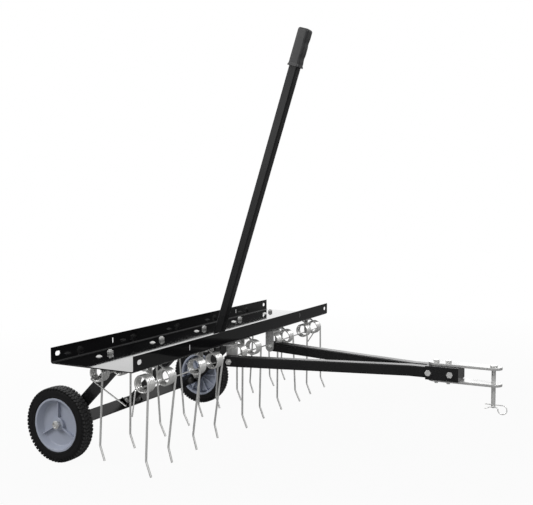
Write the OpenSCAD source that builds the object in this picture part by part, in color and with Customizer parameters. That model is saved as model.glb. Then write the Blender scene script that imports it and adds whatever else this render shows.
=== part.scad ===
// Tow-behind lawn aerator: a 40 inch tray with two rows of sprung wire tines,
// two wheels on a frame that a lever lifts, and a hitch on two drawbars.
// +X points forward to the hitch, +Y to the left, +Z up. The origin is on
// the hitch pin's axis, halfway between the two straps.

/* [Tray] */
// Length of the tray, across the path that it works
tray_w = 1016; // [960:2:1100]
// Depth of the tray, front to back
tray_d = 222; // [214:1:250]
// Height of the tray's two flanges
flange_h = 35; // [28:1:60]
// Thickness of the tray's sheet
tray_t = 2.5; // [2:0.1:3.5]
// Inner radius of the tray's bends
bend_r = 3; // [1:0.5:6]
// Height of the tie-down slots near the ends of the flanges
tie_d = 10; // [8:0.5:14]
// Distance between the centres of a tie-down slot's round ends
tie_run = 6; // [2:0.5:12]
// Distance of a tie-down slot from the tray's end
tie_inset = 20; // [14:1:40]
// Height of the flanges' holes above the tray's underside
hole_z = 20; // [14:0.5:22]
// Width of the upright slots in the flanges
slot_w = 5; // [3:0.5:8]
// Height of the upright slots in the flanges
slot_h = 12; // [8:0.5:16]
// Distance of the upright slots from the middle of the tray
slot_y = 300; // [280:1:320]

/* [Tines] */
// Diameter of the tine wire
wire_d = 4.8; // [4:0.1:5.2]
// Mean radius of a tine's coils
coil_r = 17.8; // [16:0.1:18.4]
// Pitch of a coil's turns
coil_pitch = 5.6; // [5.5:0.05:6]
// Full turns in each coil
coil_turns = 4; // [3:1:4]
// Distance between the two legs of one spring
leg_span = 101.6; // [96:0.2:108]
// Length of a leg from its coil to its kink
leg_l = 161; // [120:1:190]
// Length of a leg's kicked tip
tip_l = 35; // [20:1:45]
// Forward kick of the tips, degrees from the vertical
tip_a = 23.5; // [5:0.5:35]
// Height of the tray's underside above the coils' axis
coil_drop = 35; // [33:0.5:42]
// Pitch of the springs along a row
spring_pitch = 203.2; // [196:0.2:204]
// Sideways shift of the rear row against the front row
rear_shift = 40; // [36:0.5:44]
// Distance of the rear coils' axis from the tray's rear edge
rear_x = 48; // [46:0.5:52]
// Distance of the front coils' axis from the tray's rear edge
front_x = 202; // [198:0.5:203]
// Thickness of the clips that hold the tines
clip_t = 2.5; // [2:0.1:3]
// Width of the clips that hold the tines
clip_w = 30; // [24:1:34]
// Diameter of the rods that catch broken tines
rod_d = 3.2; // [2.5:0.1:4]
// Depth of those rods below the coils' axis
rod_drop = 7; // [5:0.5:11]

/* [Fasteners] */
// Diameter of the small bolts
bolt_d = 8; // [6:0.5:8]
// Width across flats of the small bolts' heads and nuts
bolt_af = 13; // [11:0.5:13]
// Height of the small bolts' heads
head_h = 5; // [4:0.5:6]
// Height of the small nuts
nut_h = 6.5; // [5:0.5:7]
// Bare thread past a nut
thread_out = 3; // [1:0.5:4]

/* [Wheels] */
// Outer diameter of the tyres
tyre_d = 186; // [176:1:200]
// Width of the tyres
tyre_w = 34; // [30:1:40]
// Outer diameter of the rims' lips
rim_d = 133; // [120:1:140]
// Length of a wheel's hub
hub_l = 36; // [34:1:44]
// Width of the sloping band between a rim's lip and its web
dish_w = 10.5; // [8:0.5:13]
// Outer diameter of a wheel's hub
hub_d = 32; // [28:1:40]
// Diameter of the axle bolts
axle_d = 12.7; // [10:0.1:14]
// Running clearance on the radius of axles and pivots
run_gap = 0.06; // [0.03:0.01:0.09]

/* [Lift frame] */
// Thickness of the frame's flat bar
arm_t = 6; // [5:0.5:8]
// Width of the frame's flat bar
arm_w = 31; // [26:1:34]
// Distance that each arm stands outside the middle between two tines
arm_off = 0.2; // [-2:0.1:3]
// Distance from the frame's pivot to the axles
arm_l = 252; // [240:1:264]
// Slope of the arms at rest, degrees below the horizontal
arm_a = 44.5; // [42:0.5:47]
// Distance of the frame's pivot from the tray's rear edge
pivot_x = 36; // [34:0.5:38]
// Depth of the frame's pivot below the tray's underside
pivot_drop = 19; // [18.5:0.1:20]
// Diameter of the frame's pivot pins
pivot_d = 10; // [8:0.5:11]
// Distance from the axles down to the cross bar's front face
bar_gap = 13; // [11:0.5:16]
// Travel of the lift lever from rest, degrees
lift_travel = 20; // [12:1:20]

/* [Lever] */
// Side of the lever's square tube
lever_w = 22.2; // [19:0.1:23]
// Place of the lever along the tray
lever_y = -30; // [-31:0.5:-29.5]
// Where the lever's axis crosses the tray's underside
lever_x = 134.3; // [130:0.1:135]
// Lean of the lever at rest, degrees forward
lever_a = 18; // [17:0.5:20]
// Length of the lever above the tray's underside
lever_l = 810; // [600:5:900]
// Length of the lever below the tray's underside
lever_tail = 42; // [36:1:46]
// Wall of the lever's and drawbars' tubes
tube_t = 2; // [1.5:0.1:2.5]
// Length of the hand grip
grip_l = 94; // [80:1:130]
// Wall of the hand grip
grip_t = 3.4; // [2:0.1:5]
// Thickness of the plates that join lever and strut
plate_t = 3; // [2.5:0.1:3]

/* [Drawbars] */
// Side of the drawbars' square tube
bar_w = 25.4; // [22:0.1:26]
// Depth of the drawbars' top below the tray's underside
bar_drop = 30; // [28:0.5:34]
// Distance of the drawbars' root bolts from the tray's middle
root_y = 118.5; // [112:0.5:122]
// Distance of the root bolts in front of the tray's rear edge
root_x = 222; // [220:0.5:226]
// Where the drawbars turn parallel
turn_x = 650; // [600:1:670]
// Distance of the drawbars' front ends from the middle
tongue_y = 17.2; // [17:0.1:19]

/* [Hitch] */
// Rear end of the hitch sleeve and straps
hitch_x = 690; // [680:1:700]
// Length of the hitch sleeve
sleeve_l = 76; // [70:1:90]
// Thickness of the hitch sleeve's plate
sleeve_t = 3; // [2.5:0.5:4]
// Length from the straps' rear ends to the pin's axis
strap_reach = 148; // [140:1:170]
// Width of the straps
strap_w = 38; // [32:1:44]
// Thickness of the straps
strap_t = 6; // [4:0.5:8]
// Diameter of the hitch pin
pin_d = 9.5; // [8:0.1:12]
// Length of the hitch pin below the lower strap
pin_tail = 50; // [44:1:60]
// Diameter of the hair cotter's wire
cotter_d = 2.4; // [2:0.1:3]
// Height of the cotter above the pin's lower end
cotter_up = 7; // [5:0.5:10]

/* [Hidden] */
$fn = 48;

// Clearances between fixed pieces, and past moving ones
fit = 0.1;
seam = 0.25;
slot_gap = 1.5;

// Straps, pin and origin
strap_gap = bar_w + 2 * (sleeve_t + fit);
strap_top_z = -bar_drop + fit + sleeve_t;
pin_x = hitch_x + strap_reach;
origin_z = strap_top_z - strap_gap / 2;

// Springs in each row, and the forward lean of their legs, in degrees
springs = 5;
front_lean = [-2.5, -7.4, -7.4, -8.4, -0.5, -1.5, -0.5, 2.5, -0.5, 0.5];
rear_lean = [-3.1, -1.1, 3.9, 4.9, -2.1, -4.1, -0.1, -4.1, 1.9, -1.1];

// Springs: the wire's exit from the coil, and the bar that joins two coils
wire_r = wire_d / 2;
tube_r = wire_r * 1.05;
exit_a = 54;
bar_z = coil_drop - tube_r - fit;
bar_x = coil_r * cos(exit_a) - (bar_z - coil_r * sin(exit_a)) * tan(exit_a);
corner_r = 6;
rings = 8 * coil_turns;
clip_hole_x = bar_x + tube_r + fit + clip_t + 8;
hanger_in = leg_span / 2 - coil_pitch * (coil_turns + 0.9) - tube_r;

// Tails of the two rods: angles from straight down, and lengths
front_tail_a = [-9, -34];
front_tail_l = [58, 62];
rear_tail_a = [63, 0];
rear_tail_l = [110, 55];

// Frame and lever; each arm passes between two springs of the rear row
arm_y = 1.5 * spring_pitch - arm_t / 2 + arm_off;
axle_x = pivot_x - arm_l * cos(arm_a);
axle_z = -pivot_drop - arm_l * sin(arm_a);
wheel_y = arm_y + arm_t + 2 + hub_l / 2;
plate_y = lever_w / 2 + fit;
grip_out = lever_w / 2 + grip_t;
strut_from = 22;
foot_t = 4;
strut_l = arm_l + bar_gap - foot_t - strut_from;
strut_bolt = [12, 42];
lever_bolt = [12, 34];
foot_hole = 25.6;
lug_t = 3;
lug_gap = 0.4;
pin_head = 3;

// Drawbars: the toe angle of the sloping stretch
toe = atan((root_y - tongue_y) / (turn_x - root_x));
bar_in = 12;
clamp_x = [18, 46];
side_x = [7, 57];

function unit(v) = v / norm(v);

// Half a spring, from the tip of its leg to the middle of the joining bar.
// y0 is the leg's place and s the way in, along Y, to the middle.
function half_path(y0, s, lean) = let(
    steps = rings,
    a_end = 360 * coil_turns + exit_a,
    knee = [coil_r * cos(lean), y0, coil_r * sin(lean)]
        + leg_l * [sin(lean), 0, -cos(lean)],
    y_out = y0 + s * coil_pitch * (a_end - lean) / 360,
    corner = [bar_x, y_out, bar_z],
    along = [sin(exit_a), 0, -cos(exit_a)]
) concat(
    [knee + tip_l * [sin(tip_a + lean), 0, -cos(tip_a + lean)], knee],
    [for (i = [0:steps]) let(a = lean + (a_end - lean) * i / steps)
        [coil_r * cos(a), y0 + s * coil_pitch * (a - lean) / 360,
         coil_r * sin(a)]],
    [corner + corner_r * along, corner + s * corner_r * [0, 1, 0]]
);

function reversed(p) = [for (i = [len(p) - 1:-1:0]) p[i]];

function spring_path(lean_a, lean_b) = concat(
    half_path(-leg_span / 2, 1, lean_a),
    reversed(half_path(leg_span / 2, -1, lean_b)));

// Direction of the path at point i
function heading(p, i) = i == 0 ? unit(p[1] - p[0])
    : i == len(p) - 1 ? unit(p[i] - p[i - 1])
    : unit(unit(p[i] - p[i - 1]) + unit(p[i + 1] - p[i]));

// Normals carried along the path without twist
function normals(p) = [
    for (i = 0, n = unit(cross(heading(p, 0), [0, 1, 0])); i < len(p);
         i = i + 1, n = i < len(p)
             ? let(t = heading(p, i)) unit(n - t * (n * t)) : n) n];

// A closed tube of the given radius and sides along the points p
module sweep(p, r, sides) {
    n = normals(p);
    count = len(p);
    points = [for (i = [0:count - 1]) let(t = heading(p, i),
            b = cross(t, n[i]))
        for (k = [0:sides - 1]) let(a = 360 * k / sides)
            p[i] + r * (cos(a) * n[i] + sin(a) * b)];
    walls = [for (i = [0:count - 2], k = [0:sides - 1]) let(
            a = i * sides + k, b = i * sides + (k + 1) % sides)
        each [[a, a + sides, b], [b, a + sides, b + sides]]];
    caps = [for (k = [1:sides - 2])
        each [[0, k, k + 1], let(e = (count - 1) * sides)
            [e, e + k + 1, e + k]]];
    polyhedron(points = points, faces = concat(walls, caps));
}

module spring(x, y, lean_a, lean_b)
    color("gainsboro") translate([x, y, -coil_drop])
        sweep(spring_path(lean_a, lean_b), tube_r, 6);

function row_y(i) = (i - (springs - 1) / 2) * spring_pitch;

// Least gap between two stretches of one wire that aren't neighbours
function wire_gap(p) = min([for (i = [0:len(p) - 6], j = [i + 5:len(p) - 1])
    norm(p[i] - p[j])]) - 2 * tube_r;
echo(least_gap_of_the_tine_wire = min([for (i = [0:springs - 1])
    min(wire_gap(spring_path(front_lean[2 * i], front_lean[2 * i + 1])),
        wire_gap(spring_path(rear_lean[2 * i], rear_lean[2 * i + 1])))]));

// Repeats its children at the middle of every spring of both rows
module at_springs() {
    for (i = [0:springs - 1]) {
        translate([front_x, row_y(i), 0]) children();
        translate([rear_x, row_y(i) + rear_shift, 0]) children();
    }
}

module hex(af, h) cylinder(d = af / cos(30), h = h, $fn = 6);

// A clip's section: a hat over the bar, and a flat that the bolt clamps
module tine_clip() {
    low = -tube_r * 2 - fit * 2;
    back = bar_x - tube_r - fit;
    front = bar_x + tube_r + fit;
    difference() {
        rotate([90, 0, 0]) translate([0, 0, -clip_w / 2])
            linear_extrude(clip_w) polygon([
                [back - clip_t, 0], [back, 0], [back, low], [front, low],
                [front, 0], [clip_hole_x + 9, 0],
                [clip_hole_x + 9, -clip_t], [front + clip_t, -clip_t],
                [front + clip_t, low - clip_t],
                [back - clip_t, low - clip_t]]);
        translate([clip_hole_x, 0, -clip_t - 1])
            cylinder(d = bolt_d + 2 * fit, h = clip_t + 2);
    }
}

module tine_clips() color("silver") at_springs() tine_clip();

// A hex bolt from below, with its nut on top of a stack of this height
module bolt_up(stack) {
    translate([0, 0, -head_h]) hex(bolt_af, head_h);
    cylinder(d = bolt_d, h = stack + nut_h + thread_out);
}

// A nut on the same bolt
module nut(h = nut_h, af = bolt_af, d = bolt_d) difference() {
    hex(af, h);
    translate([0, 0, -1]) cylinder(d = d + 2 * fit, h = h + 2);
}

module tine_bolts() color("gainsboro") at_springs()
    translate([clip_hole_x, 0, -clip_t]) bolt_up(clip_t + tray_t);

module tine_nuts() color("gainsboro") at_springs()
    translate([clip_hole_x, 0, tray_t]) nut();

hanger_t = 2;
hanger_w = 12;
hanger_bolt_d = 6;
hanger_hole = hanger_in + hanger_t + 20;

// Repeats its children at the inner side of the near coil of each spring
module at_hangers() at_springs() translate([0, -hanger_in, 0]) children();

module rod_hanger() difference() {
    union() {
        translate([-hanger_w / 2, -32, -hanger_t])
            cube([hanger_w, 32 + hanger_t, hanger_t]);
        translate([-hanger_w / 2, 0, -coil_drop - rod_drop - 5])
            cube([hanger_w, hanger_t, coil_drop + rod_drop + 5]);
    }
    translate([0, -1, -coil_drop - rod_drop]) rotate([-90, 0, 0])
        cylinder(d = rod_d + 2 * fit, h = hanger_t + 2);
    translate([0, -20, -hanger_t - 1])
        cylinder(d = hanger_bolt_d + 2 * fit, h = hanger_t + 2);
}

module rod_hangers() color("silver") at_hangers() rod_hanger();

// A round-headed bolt from above
module hanger_bolts() color("gainsboro") at_hangers()
    translate([0, -20, 0]) {
        translate([0, 0, -hanger_t - 6.5])
            cylinder(d = hanger_bolt_d, h = hanger_t + 6.5 + tray_t);
        translate([0, 0, tray_t]) intersection() {
            translate([0, 0, 3.6 - 10]) sphere(10);
            cylinder(r = 8, h = 4);
        }
    }

module hanger_nuts() color("gainsboro") at_hangers()
    translate([0, -20, -hanger_t - 5])
        nut(5, 10, hanger_bolt_d);

// A rod through one row, its ends turned down: tail_a is each tail's angle
// from straight down, forward, and tail its length
module tine_rod(x, y, tail_a, tail) color("silver") {
    y0 = y + row_y(0) - leg_span / 2 - 20;
    y1 = y + row_y(springs - 1) + leg_span / 2 + 14;
    z = -coil_drop - rod_drop;
    turn = 4;
    way = [for (a = tail_a) [sin(a), 0, -cos(a)]];
    near = [x, y0, z];
    far = [x, y1, z];
    sweep([near + tail[0] * way[0], near + turn * way[0],
        near + turn * (1 - sqrt(0.5)) * (way[0] + [0, 1, 0]),
        near + turn * [0, 1, 0], far - turn * [0, 1, 0],
        far + turn * (1 - sqrt(0.5)) * (way[1] - [0, 1, 0]),
        far + turn * way[1], far + tail[1] * way[1]], rod_d / 2, 10);
}

// The tray's section: a floor with an upturned flange at each edge
module tray_section() {
    outer = bend_r + tray_t;
    translate([outer, 0]) square([tray_d - 2 * outer, tray_t]);
    for (side = [0, 1])
        translate([side * tray_d, 0]) mirror([side, 0]) {
            translate([0, outer]) square([tray_t, flange_h - outer]);
            translate([outer, outer]) intersection() {
                difference() {
                    circle(outer);
                    circle(bend_r);
                }
                translate([-outer, -outer]) square(outer);
            }
        }
}

// Where the lever passes the floor, at rest and at the end of its travel
function lever_at(z, turn) = let(
    a = lever_a + turn,
    arm = (lever_x - pivot_x) * cos(lever_a) - pivot_drop * sin(lever_a)
) pivot_x + (arm + (z + pivot_drop) * sin(a)) / cos(a);
slot_x0 = lever_at(0, 0) - lever_w / 2 / cos(lever_a) - slot_gap;
slot_x1 = lever_at(tray_t, lift_travel)
    + lever_w / 2 / cos(lever_a + lift_travel) + slot_gap;
slot_half = lever_w / 2 + slot_gap;

module lever_slot(h) translate([slot_x0, lever_y - slot_half, -1])
    cube([slot_x1 - slot_x0, 2 * slot_half, h]);

module tray() color("black") difference() {
    rotate([90, 0, 0]) translate([0, 0, -tray_w / 2])
        linear_extrude(tray_w) tray_section();
    for (s = [-1, 1]) {
        translate([-1, s * (tray_w / 2 - tie_inset), hole_z]) {
            for (e = [-1, 1]) translate([0, e * tie_run / 2, 0])
                rotate([0, 90, 0]) cylinder(d = tie_d, h = tray_d + 2);
            translate([0, -tie_run / 2, -tie_d / 2])
                cube([tray_d + 2, tie_run, tie_d]);
        }
        translate([-1, s * slot_y - slot_w / 2, hole_z - slot_h / 2])
            cube([tray_d + 2, slot_w, slot_h]);
    }
    at_springs() translate([clip_hole_x, 0, -1])
        cylinder(d = bolt_d + 2 * fit, h = tray_t + 2);
    at_hangers() translate([0, -20, -1])
        cylinder(d = hanger_bolt_d + 2 * fit, h = tray_t + 2);
    for (s = [-1, 1]) at_root(s) at_bracket_bolts() translate([0, 0, -1])
        cylinder(d = bolt_d + 2 * fit, h = tray_t + 2);
    lever_slot(tray_t + 2);
}

// Frame of a drawbar's root bolt, with x along the drawbar
module at_root(s) translate([root_x, s * root_y, 0])
    rotate([0, 0, -s * toe]) children();

module at_bracket_bolts() for (s = [-1, 1])
    translate([-32, s * 13, 0]) children();

// Plan of the right drawbar's outline, at a half width a, ends drawn out by e
function bar_plan(a, e) = let(
    d = [cos(toe), sin(toe)], n = [-sin(toe), cos(toe)],
    root = [root_x, -root_y] - (bar_in + e) * d,
    bend = [turn_x, -tongue_y], mitre = (n + [0, 1]) / (1 + n[1]),
    tip = [hitch_x + sleeve_l - 6 + e, -tongue_y]
) [root + a * n, bend + a * mitre, tip + [0, a], tip - [0, a],
    bend - a * mitre, root - a * n];

root_bolt_z = -bar_drop - bar_w / 2;

module drawbar() difference() {
    translate([0, 0, -bar_drop - bar_w]) linear_extrude(bar_w)
        polygon(bar_plan(bar_w / 2, 0));
    translate([0, 0, -bar_drop - bar_w + tube_t])
        linear_extrude(bar_w - 2 * tube_t)
            polygon(bar_plan(bar_w / 2 - tube_t, 1));
    at_root(-1) translate([0, -bar_w, root_bolt_z]) rotate([-90, 0, 0])
        cylinder(d = bolt_d + 2 * fit, h = 2 * bar_w);
    for (x = side_x) translate([hitch_x + x, -3 * bar_w, root_bolt_z])
        rotate([-90, 0, 0])
            cylinder(d = bolt_d + 2 * fit, h = 4 * bar_w);
}

module drawbar_right() color([0.08, 0.08, 0.08]) drawbar();
module drawbar_left() color([0.08, 0.08, 0.08]) mirror([0, 1, 0]) drawbar();

// A zinc plate under the floor, with an ear on the drawbar's inner side
module drawbar_bracket(inner) {
    ear_in = bar_w / 2 + fit;
    ear_t = 3;
    difference() {
        union() {
            translate([-42, -ear_in - ear_t, -ear_t])
                cube([56, 2 * (ear_in + ear_t), ear_t]);
            translate([-42, -22, -ear_t]) cube([20, 44, ear_t]);
            translate([0, inner * (ear_in + ear_t / 2), 0])
                rotate([90, 0, 0]) translate([0, 0, -ear_t / 2])
                    linear_extrude(ear_t) union() {
                        polygon([[-14, 0], [14, 0], [14, root_bolt_z],
                            [-14, root_bolt_z]]);
                        translate([0, root_bolt_z]) circle(14);
                    }
        }
        translate([0, -30, root_bolt_z]) rotate([-90, 0, 0])
            cylinder(d = bolt_d + 2 * fit, h = 60);
        at_bracket_bolts() translate([0, 0, -ear_t - 1])
            cylinder(d = bolt_d + 2 * fit, h = ear_t + 2);
    }
}

module drawbar_bracket_right() color("silver") at_root(-1) drawbar_bracket(1);
module drawbar_bracket_left() color("silver") at_root(1) drawbar_bracket(-1);

// A bolt along +y through a stack of this thickness, centred on the origin
module cross_bolt(stack, d = bolt_d, af = bolt_af, h = nut_h)
    translate([0, -stack / 2, 0]) rotate([-90, 0, 0]) {
        translate([0, 0, -head_h]) hex(af, head_h);
        cylinder(d = d, h = stack + h + thread_out);
    }

module cross_nut(stack) translate([0, stack / 2, 0]) rotate([-90, 0, 0])
    nut();

// The ear and the drawbar, and how far their middle lies from the drawbar's
root_stack = bar_w + fit + 3;
root_shift = -(fit + 3) / 2;

module drawbar_root_bolts() color("gainsboro") for (s = [-1, 1])
    at_root(s) translate([0, 0, root_bolt_z]) mirror([0, s < 0 ? 1 : 0, 0])
        translate([0, root_shift, 0]) cross_bolt(root_stack);

module drawbar_root_nuts() color("gainsboro") for (s = [-1, 1])
    at_root(s) translate([0, 0, root_bolt_z]) mirror([0, s < 0 ? 1 : 0, 0])
        translate([0, root_shift, 0]) cross_nut(root_stack);

module bracket_bolts() color("gainsboro") for (s = [-1, 1])
    at_root(s) at_bracket_bolts() translate([0, 0, -3])
        bolt_up(3 + tray_t);

module bracket_nuts() color("gainsboro") for (s = [-1, 1])
    at_root(s) at_bracket_bolts() translate([0, 0, tray_t]) nut();

sleeve_y = tongue_y + bar_w / 2 + fit + sleeve_t;

module at_clamps() for (x = clamp_x) translate([hitch_x + x, 0, 0]) children();
module at_sides() for (x = side_x)
    translate([hitch_x + x, 0, root_bolt_z]) children();

// A box of folded plate round the front ends of both drawbars
module hitch_sleeve() color([0.1, 0.1, 0.1]) difference() {
    translate([hitch_x, -sleeve_y, strap_top_z - strap_gap])
        cube([sleeve_l, 2 * sleeve_y, strap_gap]);
    translate([hitch_x - 1, -sleeve_y + sleeve_t,
        strap_top_z - strap_gap + sleeve_t])
        cube([sleeve_l - sleeve_t + 1, 2 * (sleeve_y - sleeve_t),
            strap_gap - 2 * sleeve_t]);
    at_clamps() translate([0, 0, -100])
        cylinder(d = bolt_d + 2 * fit, h = 100);
    at_sides() translate([0, -60, 0]) rotate([-90, 0, 0])
        cylinder(d = bolt_d + 2 * fit, h = 120);
}

// A flat strap with round ends, bored for the pin and two clamp bolts
module hitch_strap(z) translate([0, 0, z]) difference() {
    linear_extrude(strap_t) union() {
        translate([hitch_x + strap_w / 2, -strap_w / 2])
            square([strap_reach - strap_w / 2, strap_w]);
        for (x = [hitch_x + strap_w / 2, pin_x])
            translate([x, 0]) circle(d = strap_w);
    }
    translate([pin_x, 0, -1])
        cylinder(d = pin_d + 2 * run_gap, h = strap_t + 2);
    at_clamps() translate([0, 0, -1])
        cylinder(d = bolt_d + 2 * fit, h = strap_t + 2);
}

module hitch_strap_upper() color("silver") hitch_strap(strap_top_z);
module hitch_strap_lower() color("silver")
    hitch_strap(strap_top_z - strap_gap - strap_t);

module hitch_side_bolts() color("gainsboro") at_sides()
    cross_bolt(2 * sleeve_y);
module hitch_side_nuts() color("gainsboro") at_sides()
    cross_nut(2 * sleeve_y);

clamp_stack = strap_gap + 2 * strap_t;
clamp_out = 6.5;

// Bolts from above, screwed into the lower strap
module hitch_clamp_bolts() color("gainsboro") at_clamps()
    translate([0, 0, strap_top_z + strap_t]) mirror([0, 0, 1]) {
        translate([0, 0, -head_h]) hex(bolt_af, head_h);
        cylinder(d = bolt_d, h = clamp_stack + clamp_out);
    }

// The pin, with a low head on the upper strap and a cross hole below
pin_low = strap_top_z - strap_gap - strap_t - pin_tail;

module hitch_pin() color("silver") difference() {
    union() {
        translate([pin_x, 0, pin_low + 1])
            cylinder(d = pin_d, h = strap_top_z + strap_t - pin_low - 1);
        translate([pin_x, 0, pin_low])
            cylinder(d1 = pin_d - 2, d2 = pin_d, h = 1);
        translate([pin_x, 0, strap_top_z + strap_t + seam])
            cylinder(d = 1.8 * pin_d, h = 3);
        translate([pin_x, 0, strap_top_z + strap_t - 1])
            cylinder(d = pin_d, h = 2);
    }
    translate([pin_x - pin_d, 0, pin_low + cotter_up]) rotate([0, 90, 0])
        cylinder(d = cotter_d + 2 * run_gap, h = 2 * pin_d);
}

// One bent wire: a straight leg through the pin, an open loop in front of
// it, and a leg that hugs the pin's near side
module hair_cotter() color("gainsboro") {
    loop_r = 9.5;
    loop_x = pin_d / 2 + 16;
    aside = pin_d / 2 + cotter_d / 2 + 0.3;
    bend = 290;
    steps = 15;
    translate([pin_x, 0, pin_low + cotter_up]) sweep(concat(
        [[-pin_d / 2 - 13, 0, 0]],
        [for (i = [0:steps]) let(a = 90 - bend * i / steps)
            [loop_x + loop_r * cos(a), -aside * i / steps,
                loop_r * (sin(a) - 1)]],
        [[7, -aside, -4.4], [3, -aside, -3.6], [-3, -aside, -3.8],
            [-pin_d / 2 - 13, -aside, -8.5]]),
        cotter_d / 2, 8);
}

// Frame of the pivot, with x along the arms to the axles
module at_pivot() translate([pivot_x, 0, -pivot_drop])
    rotate([0, 180 - arm_a, 0]) children();

// Plates welded under the floor, that the arms turn on
module frame_pivot_lugs() color("black") for (s = [-1, 1])
    translate([pivot_x, s * (arm_y - lug_gap - lug_t / 2), 0])
        rotate([90, 0, 0]) translate([0, 0, -lug_t / 2]) difference() {
            linear_extrude(lug_t) union() {
                translate([-14, -pivot_drop]) square([28, pivot_drop]);
                translate([0, -pivot_drop]) circle(14);
            }
            translate([0, -pivot_drop, -1])
                cylinder(d = pivot_d + 2 * fit, h = lug_t + 2);
        }

// Headed pins, fast in the lugs
module frame_pivot_pins() color("silver") for (s = [-1, 1])
    mirror([0, s < 0 ? 1 : 0, 0])
        translate([pivot_x, 0, -pivot_drop]) rotate([-90, 0, 0]) {
            translate([0, 0, arm_y - lug_gap - lug_t])
                cylinder(d = pivot_d, h = lug_gap + lug_t + arm_t + seam + 1);
            translate([0, 0, arm_y + arm_t + seam])
                cylinder(d = 16, h = pin_head);
        }

// A bracket welded under the floor, inside the lever's plates
module lever_pivot_bracket() color("black")
    translate([pivot_x, lever_y, 0]) {
        in = lever_w / 2 - 0.5;
        difference() {
            union() {
                translate([-12, -in, -lug_t]) cube([24, 2 * in, lug_t]);
                for (s = [-1, 1]) translate([0, s * (in - lug_t / 2), 0])
                    rotate([90, 0, 0]) translate([0, 0, -lug_t / 2])
                        linear_extrude(lug_t) union() {
                            translate([-12, -pivot_drop])
                                square([24, pivot_drop - 0.5]);
                            translate([0, -pivot_drop]) circle(12);
                        }
            }
            translate([0, -40, -pivot_drop]) rotate([-90, 0, 0])
                cylinder(d = pivot_d + 2 * fit, h = 80);
        }
    }

module lever_pivot_pin() color("silver")
    translate([pivot_x, lever_y, -pivot_drop]) rotate([-90, 0, 0]) {
        end = plate_y + plate_t;
        translate([0, 0, -end - 1]) cylinder(d = pivot_d, h = 2 * end + 1);
        translate([0, 0, -end - seam - pin_head])
            cylinder(d = 16, h = pin_head);
    }

// One flat bar bent to a U: two arms and a cross bar
module wheel_frame() color("black") at_pivot() difference() {
    far = arm_l + bar_gap + arm_t;
    bend = 8;
    out = arm_y + arm_t;
    union() {
        for (s = [-1, 1]) {
            translate([0, s * (arm_y + arm_t / 2), 0]) rotate([90, 0, 0])
                translate([0, 0, -arm_t / 2]) linear_extrude(arm_t) union() {
                    translate([0, -arm_w / 2])
                        square([far - bend, arm_w]);
                    circle(d = arm_w);
                }
            translate([far - bend, s * (out - bend), -arm_w / 2])
                intersection() {
                    difference() {
                        cylinder(r = bend, h = arm_w);
                        translate([0, 0, -1])
                            cylinder(r = bend - arm_t, h = arm_w + 2);
                    }
                    translate([0, s < 0 ? -bend : 0, 0])
                        cube([bend, bend, arm_w]);
                }
        }
        translate([far - arm_t, -out + bend, -arm_w / 2])
            cube([arm_t, 2 * (out - bend), arm_w]);
    }
    translate([0, -out - 1, 0]) rotate([-90, 0, 0])
        cylinder(d = pivot_d + 2 * run_gap, h = 2 * out + 2);
    translate([arm_l, -out - 1, 0]) rotate([-90, 0, 0])
        cylinder(d = axle_d + 2 * fit, h = 2 * out + 2);
    for (s = [-1, 1]) translate([far - 20, lever_y + s * foot_hole, 0])
        rotate([0, 90, 0]) cylinder(d = bolt_d + 2 * fit, h = 40);
}

// A square tube with a foot that bolts to the cross bar
module lift_strut() color("black") at_pivot() translate([0, lever_y, 0])
    difference() {
        union() {
            translate([strut_from, -lever_w / 2, -lever_w / 2])
                cube([strut_l, lever_w, lever_w]);
            translate([strut_from + strut_l, -foot_hole - 10,
                -arm_w / 2 + 2]) cube([foot_t, 2 * foot_hole + 20,
                    arm_w - 4]);
        }
        translate([strut_from - 1, -lever_w / 2 + tube_t,
            -lever_w / 2 + tube_t]) cube([strut_l, lever_w - 2 * tube_t,
                lever_w - 2 * tube_t]);
        for (x = strut_bolt) translate([strut_from + x, -20, 0])
            rotate([-90, 0, 0]) cylinder(d = bolt_d + 2 * fit, h = 40);
        for (s = [-1, 1]) translate([strut_from + strut_l - 1,
            s * foot_hole, 0]) rotate([0, 90, 0])
                cylinder(d = bolt_d + 2 * fit, h = foot_t + 2);
    }

// Frame of the lever, with z along it, from the tray's underside
module at_lever() translate([lever_x, lever_y, 0])
    rotate([0, lever_a, 0]) children();

// A plate that joins the lever's foot and the strut, and turns on the pin
module lever_plate() {
    foot = [lever_x, 0] - lever_tail * [sin(lever_a), cos(lever_a)];
    n = (lever_w / 2 + 1) * [cos(lever_a), -sin(lever_a)];
    u = [sin(lever_a), cos(lever_a)];
    v = -[cos(arm_a), sin(arm_a)];
    p = [pivot_x, -pivot_drop];
    strut_end = strut_from + strut_bolt[1] + 12;
    difference() {
        linear_extrude(plate_t) union() {
            translate(p) rotate(180 + arm_a)
                translate([0, -lever_w / 2 - 1])
                    square([strut_end, lever_w + 2]);
            translate(p) circle(13);
            polygon([p + [-6, 11], foot - n + 36 * u, foot + n + 36 * u,
                foot + n, foot - n, p + [10, -13]]);
        }
        translate([p[0], p[1], -1])
            cylinder(d = pivot_d + 2 * run_gap, h = plate_t + 2);
        for (x = strut_bolt) translate(concat(p + (strut_from + x) * v, -1))
            cylinder(d = bolt_d + 2 * fit, h = plate_t + 2);
        for (z = lever_bolt) translate(concat(foot + (z - 6) * u, -1))
            cylinder(d = bolt_d + 2 * fit, h = plate_t + 2);
    }
}

module lever_plates() color("black") for (s = [0, 1])
    translate([0, lever_y + (s == 0 ? -plate_y : plate_y + plate_t), 0])
        rotate([90, 0, 0]) lever_plate();

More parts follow.
